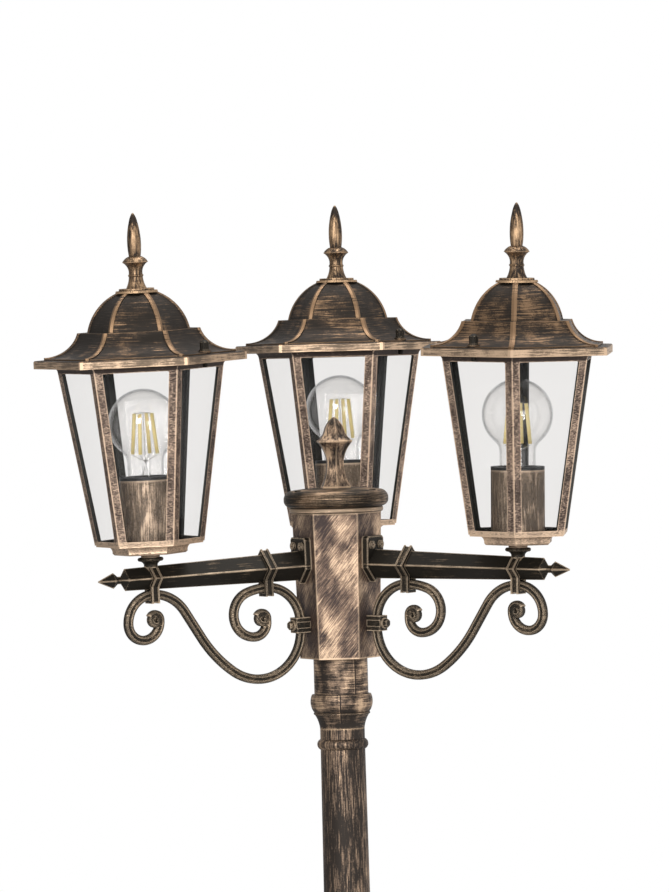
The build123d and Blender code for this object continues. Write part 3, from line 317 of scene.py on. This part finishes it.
def bronze(name, direction, tones, cover, edge_gold=1.0, patch=0.02, reach=0.0022,
           sharpest=0.55, hollow_reach=0.012, width=STROKE_WIDTH, streak=0.55,
           richer=None, polished=None, outer=None, inner=ENAMEL):
    """Dry-brushed bronze. `cover` is how much of a face the strokes take.

    `patch` is the size of the denser patches, `reach` and `sharpest` shape the worn edges, and
    `streak` sets long strokes against soft clouds. `richer`, `polished` and `outer` are functions
    of the finish that give a mask. `richer` adds to the cover, and where `polished` is 1 the
    bronze is rubbed to pale gold. Where `outer` is 0 the piece keeps its bare enamel, `inner`, as
    the inside of a lantern does.
    """
    finish = material(name)
    ground, coat, gold = TONES[tones]
    fine = finish.noise(stroke_space(finish, direction, width), detail=5, roughness=HAIRY)
    wide = finish.noise(finish.stretched((patch, patch, patch * PATCH_TALLER)), detail=2)
    grain = finish.noise(finish.stretched((GRAIN_SIZE,) * 3), roughness=COARSE)
    edge = edges(finish, reach, sharpest)

    # fractal noise keeps close to one half, so a small shift of the level changes the cover a lot
    level = fine * streak + wide * (1 - GRAIN_SHARE - streak) + grain * GRAIN_SHARE
    level = level + (cover - 0.5) * COVER_GAIN - hollows(finish, hollow_reach) * HOLLOW_LOSS
    if richer:
        level = level + richer(finish)
    strokes = level.step(*STROKES_FROM)
    bright = (level + edge * EDGE_GAIN * edge_gold).step(*GOLD_FROM)
    rim = (edge * edge_gold * (0.5 + grain)).step(*RIM_FROM)

    colour = finish.blend(strokes, ground, coat)
    colour = finish.blend(bright * GOLD_COVER, colour, gold)
    colour = finish.blend(rim * RIM_COVER, colour, gold)
    if polished:
        share = polished(finish) * (POLISH_LEAST + bright * POLISH_MORE)
        colour = finish.blend(share, colour, PALE_GOLD)
    if outer:
        shown = outer(finish)
        colour = finish.blend(shown, inner, colour)
        strokes = strokes * shown
    height = strokes * 0.5 + fine * 0.5 + grain * 0.3 + rim * 0.3
    return finish.show(finish.node("BsdfPrincipled", {}, {
        "Base Color": colour,
        "Metallic": ENAMEL_METAL + strokes * STROKE_METAL,
        "Roughness": SMOOTHEST + grain * GRAIN_ROUGH + (1 - strokes) * ENAMEL_ROUGH,
        "Normal": finish.bump(height, RELIEF, RELIEF_DEPTH),
        "Specular IOR Level": ENAMEL_GLOSS,
    }))


# %% [markdown]
# ## Which piece gets which strokes
# The brush went round the turned pieces, up the pole and the finials, and slantwise over the hub.
# The arms and scrolls were hardly rubbed at all, so they stay dark between bright edges. Two
# places need masks of their own: the ring under the cap, which is rubbed bare, and the ridges
# that the two halves of the mould left on the neck. Each mask is a plain function of height or
# of the distance from an upright plane, so it stays put from every side.

# %% The ring under the cap
CAP_SPIGOT, CAP_RING = 0.0050, 0.0045
CAP_RING_FADE = (0.0002, 0.0011)                    # metres from the ring's upper and lower edge
CAP_RING_POLISH = 1.8


def cap_ring(finish):
    """Strong on the middle of the thin ring under the cap's disc, 0 on the rest of the cap."""
    half = CAP_RING / 2
    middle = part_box("hub_cap")[0][2] + CAP_SPIGOT + half
    off_middle = abs(finish.along(UP, (0, 0, middle)))
    fade_from, fade_to = (half - inside for inside in CAP_RING_FADE)
    return off_middle.step(fade_from, fade_to) * CAP_RING_POLISH


# %% The ridges on the neck
NECK_RING_TOP = 0.029
TAPER_FROM, TAPER_FULL = -0.010, -0.016
CYLINDER_SEAM, RING_SEAM = radians(-59), radians(-93)
RIDGE_WIDTH, SHADE_WIDTH = (0.0006, 0.0002), (0.0008, 0.0002)
SHADE_OFFSET, SEAM_CHANGE = 0.0010, 0.0005
SEAM_GOLD, SEAM_WEIGHT, TAPER_LESS = 0.4, 0.12, 0.07


def casting_seam(finish):
    """A fine ridge on the neck, and another on its ring, each with a dark line of painted shade
    beside it.

    The taper under the ring was brushed less.
    """
    ring_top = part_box("hub_neck")[0][2] + NECK_RING_TOP
    height = finish.along(UP, (0, 0, ring_top))
    ridges = []
    for azimuth, fade in ((CYLINDER_SEAM, (0, SEAM_CHANGE)), (RING_SEAM, (SEAM_CHANGE, 0))):
        beside = finish.along((-sin(azimuth), cos(azimuth), 0))
        ridge = abs(beside).step(*RIDGE_WIDTH) * SEAM_GOLD
        shade = abs(beside - SHADE_OFFSET).step(*SHADE_WIDTH)
        ridges.append((ridge - shade) * height.step(*fade))
    return sum(ridges) * SEAM_WEIGHT - height.step(TAPER_FROM, TAPER_FULL) * TAPER_LESS


# %% Finish the pieces of the post
hub_finish = bronze("hub bronze", "slant", "hub", cover=0.56, patch=0.018, reach=0.0016,
                    sharpest=0.22, width=0.00075, streak=0.5)
cap_finish = bronze("cap bronze", "level", "cap", cover=0.54, patch=0.03, polished=cap_ring)
turned_finish = bronze("turned bronze", "level", "turned", cover=0.56, patch=0.015)
neck_finish = bronze("neck bronze", "level", "turned", cover=0.60, patch=0.012, streak=0.45,
                     richer=casting_seam)
pole_finish = bronze("pole bronze", "upright", "turned", cover=0.42, patch=0.05)
foot_finish = bronze("foot bronze", "level", "turned", cover=0.46, patch=0.06, reach=0.003,
                     sharpest=0.3)
scroll_finish = bronze("scroll bronze", "stippled", "dark", cover=0.3, edge_gold=1.5,
                       reach=0.0026, sharpest=0.34, hollow_reach=0.0025)
strap_finish = bronze("strap bronze", "stippled", "dark", cover=0.3, edge_gold=0.9,
                      reach=0.0012, sharpest=0.5)
small_finish = bronze("fitting bronze", "stippled", "dark", cover=0.35, edge_gold=1.1,
                      reach=0.0014, sharpest=0.45)
knob_finish = bronze("knob bronze", "stippled", "dark", cover=0.1, edge_gold=0.7,
                     reach=0.0008, sharpest=0.6)
hub_finial_finish = bronze("hub finial bronze", "upright", "turned", cover=0.55, patch=0.009,
                           reach=0.0018, sharpest=0.26, streak=0.38)

finishes = {
    "hub_body": hub_finish, "hub_cap": cap_finish, "hub_cap_screws": knob_finish,
    "hub_finial": hub_finial_finish, "hub_neck": neck_finish, "upper_pole": pole_finish,
    "pole_coupling": turned_finish, "lower_pole": pole_finish, "base_pedestal": foot_finish,
    "arm_flange_screws": small_finish, "scroll_straps": strap_finish,
    "scroll_saddles": small_finish, "saddle_screws": small_finish, "stem_nuts": small_finish,
}
for name in LANTERNS:
    finishes[f"{name}_scroll"] = scroll_finish
    finishes[f"{name}_lantern_seat"] = small_finish
    for screw in (1, 2):
        finishes[f"{name}_thumb_screw_{screw}"] = knob_finish

for node, finish in finishes.items():
    paint(frame["nodes"][node], finish)
print(len(finishes), "nodes painted")

# %% [markdown]
# ## Lanterns
# Each lantern stands square on its own stem, which leans a little, so its masks are worked out in
# the lantern's own frame: heights along the stem, and three upright planes that pass through its
# corners. The roof is dark with a bronze band along every hip and a bright lip, and the cage is
# bright outside and bare enamel inside.

# %% A lantern's own frame
swivels = {joint["name"]: joint for joint in frame["joints"]}


def lantern_place(name):
    """The lantern's own frame at rest: its origin on the arm's axis and z up its stem."""
    swivel = swivels[f"{name}_swivel"]
    turn = Vector(UP).rotation_difference(Vector(swivel["axis"])).to_matrix().to_4x4()
    return Matrix.Translation(swivel["pos_m"]) @ turn


def stem_height(finish, place):
    """How far a point lies over the arm's axis, along the lantern's stem."""
    return finish.along(place.col[2].xyz, place.translation)


def off_corners(finish, place, corner):
    """Distance to the nearest of the three planes through a lantern's corners, in metres.

    `corner` is the direction in which one of its corners points.
    """
    offsets = []
    for turn in (0, pi / 3, 2 * pi / 3):
        normal = place.to_3x3() @ Vector((-sin(corner + turn), cos(corner + turn), 0))
        offsets.append(abs(finish.along(normal, place.translation)))
    return reduce(Value.least, offsets)


# %% [markdown]
# Each function below takes what it has to know of one lantern and gives back a mask for `bronze`.
# A mask is written as a small function inside another, because the finish it belongs to is only
# there once `bronze` has made it.

# %% Masks of the whole lantern
FACING_FADE = 0.004
BELOW_FADE = (0.0004, -0.0002)


def outward(place):
    """1 on faces that look away from the lantern's axis, 0 on those that look in."""
    def mask(finish):
        away = finish.vectors("SUBTRACT", finish.place(), place.translation)
        flat = finish.vectors("MULTIPLY", away, (1, 1, 0))
        facing = finish.vectors("DOT_PRODUCT", flat, finish.normal(), output="Value")
        return facing.step(-FACING_FADE, FACING_FADE)
    return mask


def below(place, top, share=1.0):
    """`share` on a lantern's faces that lie less than `top` over the arm, 0 on the rest."""
    def mask(finish):
        fade_from, fade_to = (top + shift for shift in BELOW_FADE)
        return stem_height(finish, place).step(fade_from, fade_to) * share
    return mask


# %% Masks of cage and roof, with heights over the arm's axis
RAIL_TOP, CAGE_TOP, LIP_TOP = 0.0328, 0.1765, 0.1862
LEDGE_FADE = 0.001
CORNER_WIDTH, RIB_WIDTH = (0.0011, 0.0004), (0.002645, 0.00184)
RAIL_MORE, CORNER_MORE, CORNICE_PAINTED_SHADE = 0.05, 0.12, 0.1
RIB_MORE, LIP_MORE = 0.13, 0.05


def rail_and_corners(place, corner):
    """The cage's bottom rail and its corner edges stand proud, so the brush met them first.

    The cornice over the panes lies in shade under the roof's lip, and is painted darker there as
    painted shade.
    """
    def mask(finish):
        height = stem_height(finish, place)
        rail = height.step(RAIL_TOP + LEDGE_FADE, RAIL_TOP)
        line = off_corners(finish, place, corner).step(*CORNER_WIDTH)
        # painted shade: less bronze on the cornice, which lies under the roof's lip
        cornice = height.step(CAGE_TOP - LEDGE_FADE, CAGE_TOP)
        return (rail * RAIL_MORE).most(line * CORNER_MORE) - cornice * CORNICE_PAINTED_SHADE
    return mask


def ribs_and_lip(place, corner):
    """More bronze on the bands along the roof's hips, and on its lip."""
    def mask(finish):
        rib = off_corners(finish, place, corner).step(*RIB_WIDTH)
        return rib * RIB_MORE + below(place, LIP_TOP)(finish) * LIP_MORE
    return mask


# %% Masks of roof finial and arm
FINIAL_BELLY, BELLY_HALF = 0.282, 0.016
TIP_FROM, TIP_FULL = 0.293, 0.307
BELLY_MORE, TIP_LESS = 0.03, 0.13
# the ridge's extra gold is partly rubbed bronze and partly a painted highlight
RIDGE_LINE, RIDGE_RUB_AND_HIGHLIGHT = (0.0012, 0.0003), 0.15


def belly_and_tip(place):
    """A little more bronze on the belly of a roof finial's bud, and less on its very tip."""
    def mask(finish):
        height = stem_height(finish, place)
        belly = 1 - (abs(height - FINIAL_BELLY) / BELLY_HALF).least(1)
        return belly * BELLY_MORE - height.step(TIP_FROM, TIP_FULL) * TIP_LESS
    return mask


def arm_ridge_rub_and_highlight(place):
    """The arm's two side edges, which stand out furthest, are rubbed along their length; part of
    their gold is a painted highlight of the light they catch.
    """
    def mask(finish):
        return abs(stem_height(finish, place)).step(*RIDGE_LINE) * RIDGE_RUB_AND_HIGHLIGHT
    return mask


# %% Finish the lanterns
TURNS = {"left": -1, "right": -33, "rear": -63}     # degrees each is turned against its arm
HALF_SIDE = 30                                      # degrees from a face's middle to its corner
# the three roofs are alike: their different covers are painted light and shade, and the right roof,
# whose faces turn to the light, is painted lightest
ROOF_COVER_AS_PAINTED_LIGHT = {"left": 0.43, "right": 0.63, "rear": 0.48}
LIP_POLISH = 0.8
INSIDE = (0.045, 0.045, 0.042)

for name in LANTERNS:
    place = lantern_place(name)
    arm_angle = place.translation.xy.angle_signed(Vector((1, 0)))
    corner = arm_angle + radians(TURNS[name] + HALF_SIDE)
    cage_finish = bronze(f"{name} cage bronze", "stippled", "frame", cover=0.52, patch=0.012,
                         reach=0.0014, sharpest=0.5, width=0.00085, streak=0.65,
                         richer=rail_and_corners(place, corner),
                         polished=below(place, RAIL_TOP), outer=outward(place), inner=INSIDE)
    roof_finish = bronze(f"{name} roof bronze", "level", "roof", cover=ROOF_COVER_AS_PAINTED_LIGHT[name],
                         width=0.0007, richer=ribs_and_lip(place, corner),
                         polished=below(place, LIP_TOP, LIP_POLISH), outer=outward(place))
    arm_finish = bronze(f"{name} arm bronze", "level", "dark", cover=0.15, reach=0.0020,
                        sharpest=0.32, richer=arm_ridge_rub_and_highlight(place))
    sleeve_finish = bronze(f"{name} sleeve bronze", "upright", "sleeve", cover=0.43,
                           patch=0.012)
    finial_finish = bronze(f"{name} finial bronze", "upright", "finial", cover=0.56,
                           patch=0.01, richer=belly_and_tip(place))
    lantern_finishes = {
        "frame": cage_finish, "tray": cage_finish, "roof": roof_finish, "arm": arm_finish,
        "sleeve": sleeve_finish, "roof_finial": finial_finish,
    }
    for part, finish in lantern_finishes.items():
        paint(frame["nodes"][f"{name}_{part}"], finish)
    print(name, "lantern painted")

# %% [markdown]
# ## Glass
# Both the panes and the bulbs are clear and thin. A thin wall hardly bends what is behind it, so
# it is a mix: see-through where it is faced, a mirror at a glancing angle, and a little grey all
# over from the metal in ordinary glass. Light passes through a see-through shader as it should,
# so the lamps inside are lit. The panes mirror less than clean new glass would.

# %% Clear glass
GLASS_INDEX = 1.45
HEAD_ON = ((GLASS_INDEX - 1) / (GLASS_INDEX + 1)) ** 2
EDGE_ON = (0.6, 1.0)


def clear_glass(name, tint, edge_on_shade_tint, gloss=1.0):
    """Thin glass. `edge_on_shade_tint` is its tone where it is seen edge-on, a painted shade;
    `gloss` its share of mirror.
    """
    finish = material(name)
    through = finish.node("BsdfTransparent", {}, {"Color": (*tint, 1)})
    # painted shade: edge-on the glass turns darker, standing in for the dark surroundings that real
    # glass bends and mirrors at its edges
    rim = finish.node("BsdfTransparent", {}, {"Color": (*edge_on_shade_tint, 1)})
    glancing = finish.node("LayerWeight", {}, {"Blend": 0.5}, "Facing")
    body = finish.node("MixShader", {}, {0: glancing.step(*EDGE_ON), 1: through, 2: rim})
    mirror = finish.node("BsdfGlossy", {}, {"Color": (1, 1, 1, 1), "Roughness": 0.02})
    # what glass mirrors grows slowly at first and then fast: a fifth power comes close to it
    shine = HEAD_ON + (1 - HEAD_ON) * glancing ** 5
    return finish.show(finish.node("MixShader", {}, {0: shine * gloss, 1: body, 2: mirror}))


pane_glass = clear_glass("pane glass", (0.957, 0.953, 0.949), (0.93, 0.93, 0.92), gloss=0.2)
bulb_glass = clear_glass("bulb glass", (0.980, 0.978, 0.976), (0.84, 0.85, 0.86))
for name in LANTERNS:
    paint(frame["nodes"][f"{name}_panes"], pane_glass)
    paint(frame["nodes"][f"{name}_bulb_glass"], bulb_glass)
print("panes and bulbs glazed")

# %% [markdown]
# ## Plain materials
# The lamp holder is moulded black plastic, and the lamp's cap bright nickel over brass. Neither
# was painted: the plastic has a fine grain from its mould, and the nickel is worn in bands where
# it screws into the holder.

# %% Plastic and nickel
MOULD_GRAIN = 0.0006
WORN_BAND = (0.004, 0.004, 0.0008)


def moulded_black(name):
    finish = material(name)
    grain = finish.noise(finish.stretched((MOULD_GRAIN,) * 3))
    return finish.show(finish.node("BsdfPrincipled", {}, {
        "Base Color": finish.blend(grain, (0.008, 0.008, 0.008), (0.02, 0.02, 0.02)),
        "Roughness": 0.35 + grain * 0.2,
        "Normal": finish.bump(grain, 0.2, 0.0002),
    }))


def nickel(name):
    finish = material(name)
    wear = finish.noise(finish.stretched(WORN_BAND))
    return finish.show(finish.node("BsdfPrincipled", {}, {
        "Base Color": finish.blend(wear.step(0.4, 0.7), (0.62, 0.60, 0.56), (0.45, 0.42, 0.37)),
        "Metallic": 1.0,
        "Roughness": 0.18 + wear * 0.2,
    }))


holder_black = moulded_black("holder black")
cap_nickel = nickel("cap nickel")
paint(frame["nodes"]["terminal_block"], holder_black)
for name in LANTERNS:
    paint(frame["nodes"][f"{name}_lamp_holder"], holder_black)
    paint(frame["nodes"][f"{name}_bulb_cap"], cap_nickel)
print("holders and caps painted")

# %% [markdown]
# ## Inside each lamp
# The lamp's light comes from four straight sticks coated with yellow phosphor. They stand on
# wires that spread from a glass stem, and meet in a small crown of wire at the top. The measured
# model holds them as one rough solid, so they are rebuilt here in three pieces, each with a
# finish of its own. All three are rods and cones: create_cone makes both, once it is turned to
# run from one point to another.

# %% Helpers for the lamp's parts
def phosphor(name):
    finish = material(name)
    beads = finish.noise(finish.stretched((0.003, 0.003, 0.0011)))
    colour = finish.blend(beads.step(0.35, 0.7), (0.97, 0.83, 0.42), (0.93, 0.72, 0.27))
    return finish.show(finish.node("BsdfPrincipled", {}, {
        "Base Color": colour,
        "Roughness": 0.45 + beads * 0.2,
        # painted glow: the lamp is off, and this emission stands in for the light that the phosphor
        # scatters
        "Emission Color": colour,
        "Emission Strength": 0.3,
    }))


def rod(mesh, start, end, radius, sides=12, end_radius=None):
    """Adds a closed round rod or cone between two points to a bmesh."""
    start, end = Vector(start), Vector(end)
    run = end - start
    turn = run.to_track_quat("Z", "Y").to_matrix().to_4x4()
    tip = radius if end_radius is None else end_radius
    bmesh.ops.create_cone(mesh, cap_ends=True, segments=sides, radius1=radius, radius2=tip,
                          depth=run.length, matrix=Matrix.Translation((start + end) / 2) @ turn)


def piece(name, mesh, place, body, slot, finish):
    """Turns a bmesh into a finished piece that rides on a body."""
    mesh.transform(place)
    data = bpy.data.meshes.new(name)
    mesh.to_mesh(data)
    mesh.free()
    made = bpy.data.objects.new(name, data)
    scene.collection.objects.link(made)
    for face in data.polygons:
        face.use_smooth = True
    paint(made, finish)
    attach(made, body)
    return made


# %% Build the lamps, with heights over the arm's axis
STICKS = 4
STICK_LOW, STICK_HIGH = 0.1045, 0.1385
STICK_LOW_R, STICK_HIGH_R, STICK_R = 0.0112, 0.0078, 0.0016
STICK_TURN = radians(27)
STEM_FOOT, STEM_WAIST, STEM_TOP = 0.0805, 0.0885, 0.1000
STEM_FOOT_R, STEM_WAIST_R, STEM_TOP_R = 0.0068, 0.0034, 0.0018
WIRE_R, LEAD_R, WIRE_SIDES, STEM_SIDES = 0.00025, 0.0003, 6, 24
WIRE_FOOT, WIRE_GAP = 0.098, 0.001                  # the wires start in the stem's glass
CROWN_R, CROWN_RISE = 0.002, 0.0008
POST_FOOT, POST_TOP = 0.096, 0.1405
LEAD_FOOT_R, LEAD_TOP_R, LEAD_TOP = 0.004, 0.0008, 0.094
stick_finish_painted_glow = phosphor("phosphor")
wire_finish = nickel("lamp wire")
stem_glass = clear_glass("stem glass", (0.93, 0.93, 0.93), (0.45, 0.46, 0.48))

for name in LANTERNS:
    sticks, wires, stem = bmesh.new(), bmesh.new(), bmesh.new()
    for number in range(STICKS):
        angle = STICK_TURN + 2 * pi * (number + 0.5) / STICKS
        out = Vector((cos(angle), sin(angle), 0))
        low = out * STICK_LOW_R + Vector((0, 0, STICK_LOW))
        high = out * STICK_HIGH_R + Vector((0, 0, STICK_HIGH))
        crown = out * CROWN_R + Vector((0, 0, STICK_HIGH + CROWN_RISE))
        rod(sticks, low, high, STICK_R)
        rod(wires, (0, 0, WIRE_FOOT), low - Vector((0, 0, WIRE_GAP)), WIRE_R, WIRE_SIDES)
        rod(wires, high, crown, WIRE_R, WIRE_SIDES)
    rod(wires, (0, 0, POST_FOOT), (0, 0, POST_TOP), LEAD_R, WIRE_SIDES)
    for side in (-1, 1):
        foot, top = (side * LEAD_FOOT_R, 0, STEM_FOOT), (side * LEAD_TOP_R, 0, LEAD_TOP)
        rod(wires, foot, top, LEAD_R, WIRE_SIDES)
    waist = (0, 0, STEM_WAIST)
    rod(stem, (0, 0, STEM_FOOT), waist, STEM_FOOT_R, STEM_SIDES, STEM_WAIST_R)
    rod(stem, waist, (0, 0, STEM_TOP), STEM_WAIST_R, STEM_SIDES, STEM_TOP_R)

    place, body = lantern_place(name), f"{name}_bulb"
    shown = piece(f"{name}_lamp_sticks", sticks, place, body, "filament", stick_finish_painted_glow)
    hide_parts(f"{name}_bulb_filaments")
    piece(f"{name}_lamp_wires", wires, place, body, "lamp_cap", wire_finish)
    piece(f"{name}_lamp_stem", stem, place, body, "lamp_glass", stem_glass)
print(3 * len(LANTERNS), "pieces in the lamps")

# %% [markdown]
# ## Floor, background and light
# The photograph is a studio shot on pure white. The world is white to the camera, also through
# glass, and what metal mirrors is a studio: bright in front and far behind, less so at the right,
# and dim at the left. Everything else gets a weak grey light from it. A large soft light stands
# high at the left front, a weaker one at the right, and one above. The floor fades out, so no
# horizon shows.

# %% The world
AMBIENT = 0.25
DIM, FRONT_LIGHT, REAR_LIGHT, RIGHT_LIGHT = 0.22, 0.78, 0.75, 0.8
FRONT_FALL, REAR_FALL, RIGHT_FALL = 1.3, 6, 2


def backdrop():
    """White where it is seen, and a studio for reflections."""
    finish = Finish(bpy.data.worlds.new("studio"))
    camera_ray, glass_ray, mirror_ray = (
        finish.node("LightPath", output=f"Is {kind} Ray")
        for kind in ("Camera", "Transmission", "Glossy"))
    direction = finish.node("TexCoord", output="Generated")
    right, depth = (finish.node("SeparateXYZ", {}, {0: direction}, axis) for axis in "XY")
    studio = (DIM + FRONT_LIGHT * ((1 - depth) * 0.5) ** FRONT_FALL
              + REAR_LIGHT * depth.most(0) ** REAR_FALL
              + RIGHT_LIGHT * right.most(0) ** RIGHT_FALL)
    strength = camera_ray.most(glass_ray).most(mirror_ray * studio).most(AMBIENT)
    sockets = {"Color": (1, 1, 1, 1), "Strength": strength}
    return finish.show(finish.node("Background", {}, sockets), "OutputWorld")


scene.world = backdrop()
print("world", scene.world.name)

# %% The soft lights: place, size in metres and power in watts
HEAD = Vector((0, 0, 2.0))
SOFTBOXES = {
    "key": ((-1.2, -4.6, 3.1), 1.4, 120),
    "fill": ((1.7, -4.6, 2.3), 1.4, 45),
    "top": ((0.2, 0.4, 4.4), 1.6, 45),
}
for name, (place, size, watts) in SOFTBOXES.items():
    data = bpy.data.lights.new(name, "AREA")
    data.shape = "SQUARE"
    data.size = size
    data.energy = watts
    made = bpy.data.objects.new(name, data)
    turn = (Vector(place) - HEAD).to_track_quat("Z", "Y").to_matrix().to_4x4()
    made.matrix_world = Matrix.Translation(place) @ turn
    scene.collection.objects.link(made)
print(len(SOFTBOXES), "soft lights")

# %% The floor
FLOOR_RADIUS, FLOOR_SIDES, FLOOR_GAP = 3.0, 96, 0.0005
FADE_FROM, FADE_TO = 0.8, 2.8
SEE_THROUGH_BOUNCES = 32

floor_mesh = bmesh.new()
bmesh.ops.create_circle(floor_mesh, cap_ends=True, segments=FLOOR_SIDES, radius=FLOOR_RADIUS)
floor_data = bpy.data.meshes.new("floor")
floor_mesh.to_mesh(floor_data)
floor_mesh.free()
floor = bpy.data.objects.new("floor", floor_data)
floor.location.z = cad_box[0][2] - FLOOR_GAP
scene.collection.objects.link(floor)

floor_finish = material("floor")
away = floor_finish.vectors("LENGTH", floor_finish.place(), output="Value")
pale = floor_finish.node("BsdfDiffuse", {}, {"Color": (0.84, 0.84, 0.84, 1)})
gone = floor_finish.node("BsdfTransparent")
faded = {0: away.step(FADE_FROM, FADE_TO), 1: pale, 2: gone}
paint(floor, floor_finish.show(floor_finish.node("MixShader", {}, faded)))
scene.cycles.transparent_max_bounces = SEE_THROUGH_BOUNCES
print("floor", FLOOR_RADIUS, "m in radius")
